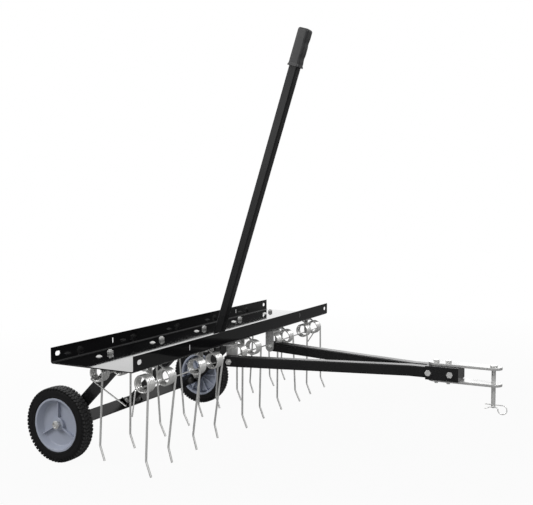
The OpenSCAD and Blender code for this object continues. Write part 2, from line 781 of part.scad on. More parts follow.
// The square tube that the hand pulls
module lift_lever() color([0.08, 0.08, 0.08]) at_lever() difference() {
    translate([-lever_w / 2, -lever_w / 2, -lever_tail])
        cube([lever_w, lever_w, lever_l + lever_tail]);
    translate([-lever_w / 2 + tube_t, -lever_w / 2 + tube_t,
        -lever_tail - 1]) cube([lever_w - 2 * tube_t,
            lever_w - 2 * tube_t, lever_l + lever_tail + 2]);
    for (z = lever_bolt) translate([0, -20, z - 6 - lever_tail])
        rotate([-90, 0, 0]) cylinder(d = bolt_d + 2 * fit, h = 40);
}

// A square sleeve with round corners, closed at the top, with a lip below
module rounded(w, r, h) {
    translate([-w / 2 + r, -w / 2, 0]) cube([w - 2 * r, w, h]);
    translate([-w / 2, -w / 2 + r, 0]) cube([w, w - 2 * r, h]);
    for (x = [-1, 1], y = [-1, 1])
        translate([x * (w / 2 - r), y * (w / 2 - r), 0])
            cylinder(r = r, h = h);
}

module hand_grip() color([0.12, 0.12, 0.12]) at_lever()
    translate([0, 0, lever_l + grip_t + seam - grip_l]) difference() {
        union() {
            rounded(2 * grip_out, 6, grip_l);
            rounded(2 * grip_out + 4, 7, 4);
        }
        translate([-lever_w / 2 - fit, -lever_w / 2 - fit, -1])
            cube([lever_w + 2 * fit, lever_w + 2 * fit,
                grip_l - grip_t + 1]);
    }

plate_stack = 2 * (plate_y + plate_t);
low_head = 3;

// Low-headed bolts through plates and tube, with thin nuts
module low_bolt(stack) translate([0, -stack / 2, 0]) rotate([-90, 0, 0]) {
    translate([0, 0, -low_head]) hex(bolt_af, low_head);
    cylinder(d = bolt_d, h = stack + 4);
}
module low_nut(stack) translate([0, stack / 2, 0]) rotate([-90, 0, 0])
    nut(4);

module at_lever_bolts() at_lever() for (z = lever_bolt)
    translate([0, 0, z - 6 - lever_tail]) children();
module at_strut_bolts() at_pivot() translate([0, lever_y, 0])
    for (x = strut_bolt) translate([strut_from + x, 0, 0]) children();

module lever_bolts() color("gainsboro") {
    at_lever_bolts() low_bolt(plate_stack);
    at_strut_bolts() low_bolt(plate_stack);
}
module lever_nuts() color("gainsboro") {
    at_lever_bolts() low_nut(plate_stack);
    at_strut_bolts() low_nut(plate_stack);
}

module at_foot_bolts() at_pivot() for (s = [-1, 1])
    translate([arm_l + bar_gap - foot_t, lever_y + s * foot_hole, 0])
        rotate([0, 90, 0]) children();
module strut_bolts() color("gainsboro") at_foot_bolts()
    bolt_up(foot_t + arm_t);
module strut_nuts() color("gainsboro") at_foot_bolts()
    translate([0, 0, foot_t + arm_t]) nut();

// Frame of a wheel, with z outward along its axle
module at_wheel(s) mirror([0, s < 0 ? 1 : 0, 0])
    translate([axle_x, wheel_y, axle_z]) rotate([-90, 0, 0]) children();

washer_t = 2;
washer_d = 2 * axle_d + 0.6;

module axle_bolts() color("gainsboro") for (s = [-1, 1]) at_wheel(s) {
    top = hub_l / 2 + seam;
    stem = hub_l + 2 * seam + arm_t + 10 + 4 + washer_t;
    translate([0, 0, top]) hex(19, 8);
    translate([0, 0, top - stem]) cylinder(d = axle_d, h = stem);
}

module axle_washers() color("silver") for (s = [-1, 1]) at_wheel(s)
    translate([0, 0, -hub_l / 2 - washer_t + seam / 2]) difference() {
        cylinder(d = washer_d, h = washer_t - seam);
        translate([0, 0, -1]) cylinder(d = axle_d + 2 * fit, h = 5);
    }

module axle_nuts() color("gainsboro") for (s = [-1, 1]) at_wheel(s)
    translate([0, 0, -hub_l / 2 - washer_t - arm_t - 10])
        nut(10, 19, axle_d);

// A moulded rim: hub, dished web, three ribs outside and twelve inside
module rim() difference() {
    barrel_r = rim_d / 2 - 3;
    half = tyre_w / 2 - 1;
    lip_r = barrel_r - 1.5;
    dish_r = barrel_r - dish_w;
    rise = (half - 6) / (lip_r - dish_r);
    union() {
        translate([0, 0, -hub_l / 2]) cylinder(d = hub_d, h = hub_l);
        rotate_extrude() polygon([
            [hub_d / 2 - 2, 2], [dish_r + 1, 2],
            [barrel_r - 3, 2 + rise * (barrel_r - 4 - dish_r)],
            [barrel_r - 3, -half],
            [rim_d / 2, -half], [rim_d / 2, -half + 2.5],
            [barrel_r, -half + 2.5], [barrel_r, half - 2.5],
            [rim_d / 2, half - 2.5], [rim_d / 2, half],
            [lip_r, half], [dish_r, 6], [hub_d / 2 - 2, 6]]);
        for (a = [90:120:330]) rotate([0, 0, a])
            translate([hub_d / 2 - 2, -1.8, 4])
                cube([dish_r + 4.5 - hub_d / 2, 3.6, 4.5]);
        for (a = [0:30:330]) rotate([0, 0, a])
            translate([hub_d / 2 - 2, -1.5, -half + 3])
                cube([barrel_r - hub_d / 2, 3, half + 1]);
    }
    translate([0, 0, -hub_l]) cylinder(d = axle_d + 2 * run_gap,
        h = 2 * hub_l);
}

// A solid rubber tyre, moulded round the rim's lips
module tyre() rotate_extrude() {
    r = tyre_d / 2;
    h = tyre_w / 2;
    seat = rim_d / 2 - 3 + fit;
    lip = rim_d / 2 + fit;
    polygon([[seat, -h + 3.6], [lip, -h + 3.6], [lip, -h + 0.8],
        [lip + 4, -h], [r - 10, -h], [r - 4, -h + 2], [r - 1, -h + 6],
        [r, -h + 11], [r, h - 11], [r - 1, h - 6], [r - 4, h - 2],
        [r - 10, h], [lip + 4, h], [lip, h - 0.8], [lip, h - 3.6],
        [seat, h - 3.6]]);
}

module rim_right() color([0.5, 0.52, 0.6]) at_wheel(-1) rim();
module rim_left() color([0.5, 0.52, 0.6]) at_wheel(1) rim();
module tyre_right() color([0.1, 0.1, 0.1]) at_wheel(-1) tyre();
module tyre_left() color([0.1, 0.1, 0.1]) at_wheel(1) tyre();

// Puts the origin on the hitch pin's axis
module part() translate([-pin_x, 0, -origin_z]) children();

part() tray();
part() drawbar_left();
part() drawbar_right();
part() drawbar_bracket_left();
part() drawbar_bracket_right();
part() drawbar_root_bolts();
part() drawbar_root_nuts();
part() bracket_bolts();
part() bracket_nuts();
part() hitch_sleeve();
part() hitch_strap_upper();
part() hitch_strap_lower();
part() hitch_side_bolts();
part() hitch_side_nuts();
part() hitch_clamp_bolts();
part() hitch_pin();
part() hair_cotter();
part() spring(front_x, row_y(0),  // tine_front_1
        front_lean[0], front_lean[1]);
part() spring(front_x, row_y(1),  // tine_front_2
        front_lean[2], front_lean[3]);
part() spring(front_x, row_y(2),  // tine_front_3
        front_lean[4], front_lean[5]);
part() spring(front_x, row_y(3),  // tine_front_4
        front_lean[6], front_lean[7]);
part() spring(front_x, row_y(4),  // tine_front_5
        front_lean[8], front_lean[9]);
part() spring(rear_x, row_y(0) + rear_shift,  // tine_rear_1
        rear_lean[0], rear_lean[1]);
part() spring(rear_x, row_y(1) + rear_shift,  // tine_rear_2
        rear_lean[2], rear_lean[3]);
part() spring(rear_x, row_y(2) + rear_shift,  // tine_rear_3
        rear_lean[4], rear_lean[5]);
part() spring(rear_x, row_y(3) + rear_shift,  // tine_rear_4
        rear_lean[6], rear_lean[7]);
part() spring(rear_x, row_y(4) + rear_shift,  // tine_rear_5
        rear_lean[8], rear_lean[9]);
part() tine_clips();
part() tine_bolts();
part() tine_nuts();
part() tine_rod(front_x, 0, front_tail_a, front_tail_l);  // tine_rod_front
part() tine_rod(rear_x, rear_shift, rear_tail_a, rear_tail_l);  // tine_rod_rear
part() rod_hangers();
part() hanger_bolts();
part() hanger_nuts();
part() frame_pivot_lugs();
part() lever_pivot_bracket();
part() frame_pivot_pins();
part() lever_pivot_pin();
part() wheel_frame();
part() lift_strut();
part() lever_plates();
part() lift_lever();
part() hand_grip();
part() lever_bolts();
part() lever_nuts();
part() strut_bolts();
part() strut_nuts();
part() axle_bolts();
part() axle_washers();
part() axle_nuts();
part() rim_left();
part() rim_right();
part() tyre_left();
part() tyre_right();
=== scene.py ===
import math

import bmesh
import bpy
from mathutils import Matrix, Vector


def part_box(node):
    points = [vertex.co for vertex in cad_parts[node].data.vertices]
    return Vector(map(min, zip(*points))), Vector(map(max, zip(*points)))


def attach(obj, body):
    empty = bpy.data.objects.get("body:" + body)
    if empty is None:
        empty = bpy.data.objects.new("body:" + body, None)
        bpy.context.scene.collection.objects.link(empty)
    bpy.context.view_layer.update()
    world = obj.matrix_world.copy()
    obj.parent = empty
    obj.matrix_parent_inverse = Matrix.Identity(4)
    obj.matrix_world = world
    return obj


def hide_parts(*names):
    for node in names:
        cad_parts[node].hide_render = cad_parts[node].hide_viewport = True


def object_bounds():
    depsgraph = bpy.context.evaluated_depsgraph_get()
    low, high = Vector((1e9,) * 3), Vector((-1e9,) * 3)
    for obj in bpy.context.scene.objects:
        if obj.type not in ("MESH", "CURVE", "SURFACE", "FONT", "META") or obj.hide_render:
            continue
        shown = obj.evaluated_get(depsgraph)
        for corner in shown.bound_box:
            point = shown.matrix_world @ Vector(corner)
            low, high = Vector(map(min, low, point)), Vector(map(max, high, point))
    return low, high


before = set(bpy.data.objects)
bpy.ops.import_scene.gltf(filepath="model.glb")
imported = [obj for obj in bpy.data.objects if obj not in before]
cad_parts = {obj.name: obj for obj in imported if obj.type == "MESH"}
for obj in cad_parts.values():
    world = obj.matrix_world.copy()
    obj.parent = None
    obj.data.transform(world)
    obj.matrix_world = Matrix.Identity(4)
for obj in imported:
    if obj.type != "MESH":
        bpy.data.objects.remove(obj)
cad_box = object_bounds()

# Camera
# It stands in front of the hitch, to the right of the drawbars, at about the
# height of the lever's middle, and looks back along the tray.
camera = bpy.data.objects.new("camera", bpy.data.cameras.new("camera"))
camera.location = (0.3028, -1.7111, 0.3651)
camera.rotation_euler = (math.radians(87.04), 0, math.radians(27.17))
camera.data.sensor_fit = "HORIZONTAL"
camera.data.sensor_width = 36
camera.data.lens = 50.27
bpy.context.scene.collection.objects.link(camera)
bpy.context.scene.camera = camera
bpy.context.scene.view_settings.view_transform = "Standard"


# Studio
# A pale floor under the tyres, a white surround, one soft lamp high on the right
# and one high on the left, and a wide low one behind.
def place(tree, kind, inputs=None, **settings):
    made = tree.nodes.new(kind)
    for key, value in settings.items():
        setattr(made, key, value)
    for key, value in (inputs or {}).items():
        if isinstance(value, bpy.types.NodeSocket):
            tree.links.new(value, made.inputs[key])
        else:
            made.inputs[key].default_value = value
    return made


studio = bpy.data.worlds.new("studio")
bpy.context.scene.world = studio
studio.use_nodes = True
tree = studio.node_tree
ray = place(tree, "ShaderNodeLightPath")
mirrored = place(tree, "ShaderNodeMath",
                 {0: ray.outputs["Is Glossy Ray"], 1: ray.outputs["Is Transmission Ray"]},
                 operation="MAXIMUM")
# Gloss shows a dark room with a white backdrop behind the tray, a white ceiling,
# and white screens to the left of the camera, round it and to its right. Each has
# its direction, the cosines where it starts and is full, and its brightness
dark_room = 0.1
screens = (((-0.457, 0.889, 0), 0.40, 0.78, 1.0),
           ((0, 0, 1), 0.12, 0.55, 0.85),
           ((-0.407, -0.914, 0), 0.95, 0.99, 2.5),
           ((0.457, -0.889, 0), 0.87, 0.95, 0.9),
           ((0.95, -0.31, 0), 0.80, 0.95, 1.0))
way = place(tree, "ShaderNodeTexCoord").outputs["Generated"]
shown = place(tree, "ShaderNodeValue").outputs[0]
shown.default_value = dark_room
for centre, start, full, bright in screens:
    facing = place(tree, "ShaderNodeVectorMath", {0: way, 1: centre},
                   operation="DOT_PRODUCT")
    lit = place(tree, "ShaderNodeMapRange",
                {"Value": facing.outputs["Value"], "From Min": start, "From Max": full,
                 "To Max": bright}, interpolation_type="SMOOTHSTEP")
    shown = place(tree, "ShaderNodeMath", {0: shown, 1: lit.outputs[0]},
                  operation="MAXIMUM").outputs[0]
soft_light = 0.5
level = place(tree, "ShaderNodeMix",
              {0: mirrored.outputs[0], 2: soft_light, 3: shown})
level = place(tree, "ShaderNodeMath",
              {0: level.outputs[0], 1: ray.outputs["Is Camera Ray"]},
              operation="MAXIMUM")
sky = tree.nodes["Background"]
sky.inputs["Color"].default_value = (1, 1, 1, 1)
tree.links.new(level.outputs[0], sky.inputs["Strength"])

# The floor is white to the camera, but for a small share near the tyres that is
# lit and keeps the shadow
floor_half = 40
share_near, share_far = 0.95, 1.0
near_reach, far_reach = 1.0, 3.0
pale_floor = bpy.data.materials.new("pale_floor")
pale_floor.use_nodes = True
tree = pale_floor.node_tree
ground = tree.nodes["Principled BSDF"]
ground.inputs["Base Color"].default_value = (0.25, 0.25, 0.25, 1)
ground.inputs["Roughness"].default_value = 0.9
ray = place(tree, "ShaderNodeLightPath")
away = place(tree, "ShaderNodeVectorMath",
             {0: place(tree, "ShaderNodeTexCoord").outputs["Object"]},
             operation="LENGTH")
away = place(tree, "ShaderNodeMapRange",
             {"Value": away.outputs["Value"], "From Min": near_reach,
              "From Max": far_reach, "To Min": share_near, "To Max": share_far})
share = place(tree, "ShaderNodeMath",
              {0: ray.outputs["Is Camera Ray"], 1: away.outputs[0]},
              operation="MULTIPLY")
white = place(tree, "ShaderNodeEmission", {"Color": (1, 1, 1, 1), "Strength": 1.0})
blend = place(tree, "ShaderNodeMixShader",
              {0: share.outputs[0], 1: ground.outputs[0], 2: white.outputs[0]})
tree.links.new(blend.outputs[0], tree.nodes["Material Output"].inputs["Surface"])
mesh = bmesh.new()
bmesh.ops.create_grid(mesh, x_segments=1, y_segments=1, size=floor_half,
                      matrix=Matrix.Translation((0, 0, cad_box[0].z)))
floor_data = bpy.data.meshes.new("floor")
mesh.to_mesh(floor_data)
mesh.free()
floor_data.materials.append(pale_floor)
floor = bpy.data.objects.new("floor", floor_data)
bpy.context.scene.collection.objects.link(floor)


def soft_lamp(name, spot, aim, width, height, watts):
    lamp = bpy.data.lights.new(name, "AREA")
    lamp.shape = "RECTANGLE"
    lamp.size, lamp.size_y, lamp.energy = width, height, watts
    holder = bpy.data.objects.new(name, lamp)
    holder.location = spot
    holder.rotation_euler = (Vector(aim) - Vector(spot)).to_track_quat("-Z", "Y").to_euler()
    holder.visible_camera = False
    bpy.context.scene.collection.objects.link(holder)


soft_lamp("lamp_right", (2.3, -2.0, 3.0), (-0.7, 0, 0), 1.6, 1.6, 80)
soft_lamp("lamp_left", (-2.8, -2.6, 2.6), (-0.7, 0, 0), 1.6, 1.6, 70)
soft_lamp("lamp_back", (-2.6, 4.4, 1.3), (-0.7, 0, 0.1), 5.0, 1.8, 26)


# Tray
# One steel sheet folded up at the front and the rear, punched and then powder
# coated in gloss black. Everything else bolts or welds to it.
def new_group(name, inputs, outputs):
    group = bpy.data.node_groups.new(name, "ShaderNodeTree")
    for socket, value in inputs.items():
        made = group.interface.new_socket(name=socket, in_out="INPUT",
                                          socket_type="NodeSocketFloat")
        made.default_value = value
    for socket in outputs:
        group.interface.new_socket(name=socket, in_out="OUTPUT",
                                   socket_type="NodeSocketFloat")
    return (group, place(group, "NodeGroupInput").outputs,
            place(group, "NodeGroupOutput").inputs)


# Grain: a fine relief of the given cell size, and broad clouds
grain, given, put = new_group("grain", {"Cells": 600.0, "Clouds": 12.0},
                              ["Relief", "Cloud"])
spot = place(grain, "ShaderNodeTexCoord").outputs["Object"]
fine = place(grain, "ShaderNodeTexNoise",
             {"Vector": spot, "Scale": given["Cells"], "Detail": 2.0})
broad = place(grain, "ShaderNodeTexNoise",
              {"Vector": spot, "Scale": given["Clouds"], "Detail": 4.0})
grain.links.new(fine.outputs["Fac"], put["Relief"])
grain.links.new(broad.outputs["Fac"], put["Cloud"])


def new_finish(name, roughness, metallic=0.0, cells=600.0, clouds=12.0,
               relief=0.1, height=0.0002):
    """A material with the grain in its roughness and its normal."""
    finish = bpy.data.materials.new(name)
    finish.use_nodes = True
    tree = finish.node_tree
    shader = tree.nodes["Principled BSDF"]
    shader.inputs["Metallic"].default_value = metallic
    skin = place(tree, "ShaderNodeGroup", node_tree=grain)
    skin.inputs["Cells"].default_value = cells
    skin.inputs["Clouds"].default_value = clouds
    dull = place(tree, "ShaderNodeMapRange",
                 {"Value": skin.outputs["Cloud"], "From Min": 0.3, "From Max": 0.7,
                  "To Min": roughness[0], "To Max": roughness[1]})
    tree.links.new(dull.outputs[0], shader.inputs["Roughness"])
    bump = place(tree, "ShaderNodeBump",
                 {"Height": skin.outputs["Relief"], "Strength": relief,
                  "Distance": height})
    tree.links.new(bump.outputs[0], shader.inputs["Normal"])
    return finish, tree, shader, skin


def two_tone(tree, shader, mask, main, other):
    """Colours a material with one colour, and with another where the mask is 1."""
    mix = place(tree, "ShaderNodeMix", {0: mask}, data_type="RGBA")
    mix.inputs[6].default_value = (*main, 1)
    mix.inputs[7].default_value = (*other, 1)
    tree.links.new(mix.outputs[2], shader.inputs["Base Color"])


def powder_coat(name, colour, dusty, roughness, relief, ior=1.33):
    finish, tree, shader, skin = new_finish(name, roughness, cells=330.0,
                                            clouds=9.0, relief=relief)
    shader.inputs["IOR"].default_value = ior
    two_tone(tree, shader, skin.outputs["Cloud"], colour, dusty)
    return finish


def finish_piece(mesh, name, body, material, nodes=()):
    """Turns a mesh into a piece that rides on a body and stands for CAD nodes."""
    data = bpy.data.meshes.new(name)
    mesh.to_mesh(data)
    mesh.free()
    data.shade_smooth()
    data.set_sharp_from_angle(angle=math.radians(40))
    data.materials.append(material)
    piece = bpy.data.objects.new(name, data)
    bpy.context.scene.collection.objects.link(piece)
    piece.modifiers.new("even_faces", "WEIGHTED_NORMAL").keep_sharp = True
    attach(piece, body)
    if nodes:
        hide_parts(*nodes)
    return piece


def eased(node, radius, corner=0.0):
    """A copy of a CAD node's mesh with its sharp edges eased to a radius.

    corner is the larger outside radius of a rolled tube's long edges."""
    mesh = bmesh.new()
    mesh.from_mesh(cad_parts[node].data)
    bmesh.ops.remove_doubles(mesh, verts=mesh.verts, dist=2e-6)
    bmesh.ops.dissolve_limit(mesh, angle_limit=math.radians(0.6),
                             verts=mesh.verts, edges=mesh.edges)
    if corner:
        long_edges = [e for e in mesh.edges if e.is_manifold and e.is_convex
                      and e.calc_length() > 0.05
                      and e.calc_face_angle(0) > math.radians(70)]
        bmesh.ops.bevel(mesh, geom=long_edges, offset=corner, affect="EDGES",
                        segments=5, profile=0.5, material=-1)
    sharp = [e for e in mesh.edges if e.is_manifold
             and e.calc_face_angle(0) > math.radians(38)]
    bmesh.ops.bevel(mesh, geom=sharp, offset=radius, affect="EDGES",
                    segments=2, profile=0.5, material=-1)
    return mesh


gloss_black = powder_coat("gloss_black", (0.004, 0.004, 0.0045),
                          (0.007, 0.007, 0.0075), (0.04, 0.1), 0.025)
finish_piece(eased("tray", 0.0005), "tray_sheet", "tray_body", gloss_black,
             ["tray"])


# Drawbar brackets
# Two zinc-plated plates, each bolted through the tray's floor and to the root
# of a drawbar.
def zinc(name, colour, shade, roughness, relief=0.15):
    finish, tree, shader, skin = new_finish(name, roughness, metallic=0.65,
                                            cells=900.0, clouds=30.0, relief=relief)
    two_tone(tree, shader, skin.outputs["Cloud"], colour, shade)
    return finish


zinc_plate = zinc("zinc_plate", (0.66, 0.66, 0.65), (0.5, 0.5, 0.5), (0.2, 0.34))
zinc_hardware = zinc("zinc_hardware", (0.78, 0.78, 0.77), (0.6, 0.6, 0.59),
                     (0.2, 0.32))
for side in ("left", "right"):
    finish_piece(eased(f"drawbar_bracket_{side}", 0.0006), f"root_bracket_{side}",
                 "tray_body", zinc_plate, [f"drawbar_bracket_{side}"])
for node, name in (("bracket_bolts", "floor_bolts"), ("bracket_nuts", "floor_nuts"),
                   ("drawbar_root_bolts", "root_bolts"),
                   ("drawbar_root_nuts", "root_nuts")):
    finish_piece(eased(node, 0.0005), name, "tray_body", zinc_hardware,
                 [node])

# Drawbars
# Two square tubes with rolled corners, bent where they turn parallel, drilled
# and powder coated in satin black.
satin_black = powder_coat("satin_black", (0.007, 0.007, 0.0075),
                          (0.012, 0.012, 0.0125), (0.2, 0.32), 0.12)
for side in ("left", "right"):
    finish_piece(eased(f"drawbar_{side}", 0.0004, corner=0.003), f"drawbar_tube_{side}",
                 "tray_body", satin_black, [f"drawbar_{side}"])

# Hitch
# A folded sleeve holds both drawbars, two zinc-plated straps are bolted above
# and below it, and their free ends hold the pin.
finish_piece(eased("hitch_sleeve", 0.0007), "hitch_box", "tray_body", satin_black,
             ["hitch_sleeve"])
for node, name in (("hitch_strap_upper", "strap_upper"),
                   ("hitch_strap_lower", "strap_lower")):
    finish_piece(eased(node, 0.0007), name, "tray_body", zinc_plate,
                 [node])
for node, name in (("hitch_side_bolts", "side_bolts"), ("hitch_side_nuts", "side_nuts"),
                   ("hitch_clamp_bolts", "strap_bolts")):
    finish_piece(eased(node, 0.0005), name, "tray_body", zinc_hardware,
                 [node])
finish_piece(eased("hitch_pin", 0.0005), "pin", "hitch_pin", zinc_hardware,
             ["hitch_pin"])


# Hair cotter
# A springy zinc-plated wire: one straight leg through the pin's cross hole, a
# round loop, and a second leg that clips over the pin.
def with_bends(points, radius, steps=6):
    """The corners of a path of points, rounded to a radius."""
    points = [Vector(p) for p in points]
    smooth = [points[0]]
    for before, corner, after in zip(points, points[1:], points[2:]):
        back = (before - corner).normalized()
        ahead = (after - corner).normalized()
        half = back.angle(ahead) / 2
        reach = radius / math.tan(half)
        centre = corner + (back + ahead).normalized() * radius / math.sin(half)
        start = corner + back * reach - centre
        end = corner + ahead * reach - centre
        smooth += [centre + radius * start.slerp(end, i / steps)
                   for i in range(steps + 1)]
    return smooth + [points[-1]]


def bent_wire(name, points, radius):
    """A round wire along a path, as a closed mesh."""
    line = bpy.data.curves.new(name, "CURVE")
    line.dimensions = "3D"
    line.bevel_depth = radius
    line.bevel_resolution = 4
    line.use_fill_caps = True
    spline = line.splines.new("POLY")
    spline.points.add(len(points) - 1)
    for knot, point in zip(spline.points, points):
        knot.co = (*point, 1)
    holder = bpy.data.objects.new(name, line)
    bpy.context.scene.collection.objects.link(holder)
    drawn = holder.evaluated_get(bpy.context.evaluated_depsgraph_get())
    data = bpy.data.meshes.new_from_object(drawn)
    mesh = bmesh.new()
    mesh.from_mesh(data)
    bpy.data.objects.remove(holder)
    bpy.data.curves.remove(line)
    bpy.data.meshes.remove(data)
    bmesh.ops.remove_doubles(mesh, verts=mesh.verts, dist=1e-6)
    bmesh.ops.recalc_face_normals(mesh, faces=mesh.faces)
    return mesh


zinc_wire = zinc("zinc_wire", (0.84, 0.84, 0.83), (0.72, 0.72, 0.71), (0.16, 0.26),
                 relief=0.05)
cotter_wire = 0.0012
cotter_z = -0.0648
cotter_end = -0.01775
loop_radius = 0.0095
loop_x = 0.02075
loop_turn = 290
loop_shift = -0.00625
loop_steps = 40
leg_bend = 0.004
loop = []
for i in range(loop_steps + 1):
    a = math.radians(90 - loop_turn * i / loop_steps)
    loop.append((loop_x + loop_radius * math.cos(a), loop_shift * i / loop_steps,
                 cotter_z + loop_radius * (math.sin(a) - 1)))
clip_leg = with_bends([loop[-1], (0.0072, loop_shift, cotter_z - 0.0044),
                       (0.0005, loop_shift, cotter_z - 0.0034),
                       (-0.0062, loop_shift, cotter_z - 0.0046),
                       (cotter_end, loop_shift, cotter_z - 0.0085)], leg_bend)
cotter_path = [(cotter_end, 0, cotter_z)] + loop + clip_leg[1:]
finish_piece(bent_wire("cotter", cotter_path, cotter_wire), "cotter_wire",
             "hair_cotter", zinc_wire, ["hair_cotter"])

# Tines
# Ten double springs of one zinc-plated wire each: a leg with a kicked tip, a
# coil of just over four turns, a bar under the clip, and the same mirrored.
tray_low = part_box("tray")[0]
wire_radius = 0.0024
coil_radius = 0.0178
coil_pitch = 0.0056
coil_height = 0.0077
coil_turns = 4
coil_exit = math.radians(54)
coil_steps = 132
leg_span = 0.1016
leg_length = 0.161
tip_length = 0.035
tip_kick = 23.5
tip_bend = 0.016
bar_height = tray_low.z - 0.00262
bar_bend = 0.006
half_bar = 0.012
tine_pitch = 0.2032
front_row = tray_low.x + 0.202
rear_row = tray_low.x + 0.048
rear_shift = 0.040


def half_spring(side, lean):
    """One leg, its coil and the rise to the bar, about the coil's axis at y 0."""
    lean = math.radians(lean)
    kick = lean + math.radians(tip_kick)
    y0 = -side * leg_span / 2
    end = math.tau * coil_turns + coil_exit
    knee = Vector((coil_radius * math.cos(lean) + leg_length * math.sin(lean), y0,
                   coil_radius * math.sin(lean) - leg_length * math.cos(lean)))
    tip = knee + tip_length * Vector((math.sin(kick), 0, -math.cos(kick)))
    coil = []
    for i in range(coil_steps + 1):
        a = lean + (end - lean) * i / coil_steps
        y = y0 + side * coil_pitch * (a - lean) / math.tau
        coil.append(Vector((coil_radius * math.cos(a), y, coil_radius * math.sin(a))))
    rise = bar_height - coil_height
    bar_x = (coil_radius * math.cos(coil_exit)
             - (rise - coil_radius * math.sin(coil_exit)) * math.tan(coil_exit))
    corner = Vector((bar_x, coil[-1].y, rise))
    leg = with_bends([tip, knee, coil[0]], tip_bend, 8)[:-1]
    bar_end = corner + Vector((0, side * half_bar, 0))
    return leg + coil + with_bends([coil[-1], corner, bar_end], bar_bend)[1:-1]


def spring_tine(x, y, lean_near, lean_far):
    near = half_spring(1, lean_near)
    far = half_spring(-1, lean_far)
    path = [p + Vector((x, y, coil_height)) for p in near + far[::-1]]
    return bent_wire("tine", path, wire_radius)


# How far the near and the far leg of each tine lean, in degrees
front_leans = [(-2.5, -7.4), (-7.4, -8.4), (-0.5, -1.5), (-0.5, 2.5), (-0.5, 0.5)]
rear_leans = [(-3.1, -1.1), (3.9, 4.9), (-2.1, -4.1), (-0.1, -4.1), (1.9, -1.1)]
for row, x, shift, leans in (("front", front_row, 0, front_leans),
                             ("rear", rear_row, rear_shift, rear_leans)):
    for i, (lean_near, lean_far) in enumerate(leans):
        y = (i - 2) * tine_pitch + shift
        finish_piece(spring_tine(x, y, lean_near, lean_far),
                     f"spring_{row}_{i + 1}", "tray_body", zinc_wire,
                     [f"tine_{row}_{i + 1}"])

# Tine clips
# A pressed hat-shaped strap over each spring's bar, clamped to the tray's
# underside by one hex bolt and nut.
finish_piece(eased("tine_clips", 0.0005), "clips", "tray_body", zinc_plate,
             ["tine_clips"])
for node, name in (("tine_bolts", "clip_bolts"), ("tine_nuts", "clip_nuts")):
    finish_piece(eased(node, 0.0005), name, "tray_body", zinc_hardware,
                 [node])

# Catch rods
# A thin zinc-plated rod through the coils of each row keeps a broken tine, and
# its bent tails stop it from sliding out. Small hangers carry the rods.
rod_radius = 0.0016
rod_height = 0.0007
rod_near, rod_far = -0.4772, 0.4712
tail_bend = 0.005
for row, x, shift, tails in (
        ("front", front_row, 0, ((-9, 0.058), (-34, 0.062))),
        ("rear", rear_row, rear_shift, ((63, 0.110), (0, 0.055)))):
    ends = []
    for y, (angle, length) in zip((rod_near + shift, rod_far + shift), tails):
        a = math.radians(angle)
        ends.append((Vector((x, y, rod_height)),
                     length * Vector((math.sin(a), 0, -math.cos(a)))))
    (near, near_tail), (far, far_tail) = ends
    path = with_bends([near + near_tail, near, far, far + far_tail], tail_bend)
    finish_piece(bent_wire("rod", path, rod_radius), f"catch_rod_{row}", "tray_body",
                 zinc_wire, [f"tine_rod_{row}"])
finish_piece(eased("rod_hangers", 0.0004), "hangers", "tray_body", zinc_plate,
             ["rod_hangers"])
for node, name in (("hanger_bolts", "dome_bolts"), ("hanger_nuts", "dome_nuts")):
    finish_piece(eased(node, 0.0003), name, "tray_body", zinc_hardware,
                 [node])

# Pivots
# Steel lugs and a small bracket welded under the tray's rear edge, coated with
# it, and the headed pins that the wheel frame and the lever's plates turn on.
frame_black = powder_coat("frame_black", (0.006, 0.006, 0.0065),
                          (0.01, 0.01, 0.0105), (0.14, 0.26), 0.08, ior=1.5)
for node, name in (("frame_pivot_lugs", "pivot_lugs"),
                   ("lever_pivot_bracket", "pivot_bracket")):
    finish_piece(eased(node, 0.0005), name, "tray_body", frame_black,
                 [node])
for node, name in (("frame_pivot_pins", "pivot_pins"),
                   ("lever_pivot_pin", "plate_pin")):
    finish_piece(eased(node, 0.0005), name, "tray_body", zinc_hardware,
                 [node])

# Wheel frame
# One flat bar bent to a U: two arms that pivot under the tray and a cross bar
# behind, with a square strut from the cross bar to the lever's plates.
finish_piece(eased("wheel_frame", 0.0006, corner=0.0014), "frame_bar", "lift_frame",
             frame_black, ["wheel_frame"])
finish_piece(eased("lift_strut", 0.0005, corner=0.003), "strut_tube", "lift_frame",
             frame_black, ["lift_strut"])
for node, name in (("strut_bolts", "foot_bolts"), ("strut_nuts", "foot_nuts")):
    finish_piece(eased(node, 0.0005), name, "lift_frame", zinc_hardware,
                 [node])

# Lever
# A long square tube, bolted between two plates that turn with the strut.
finish_piece(eased("lever_plates", 0.0006), "joining_plates", "lift_frame",
             frame_black, ["lever_plates"])
finish_piece(eased("lift_lever", 0.0004, corner=0.0032), "lever_tube", "lift_frame",
             satin_black, ["lift_lever"])
for node, name in (("lever_bolts", "plate_bolts"), ("lever_nuts", "plate_nuts")):
    finish_piece(eased(node, 0.0004), name, "lift_frame", zinc_hardware,
                 [node])

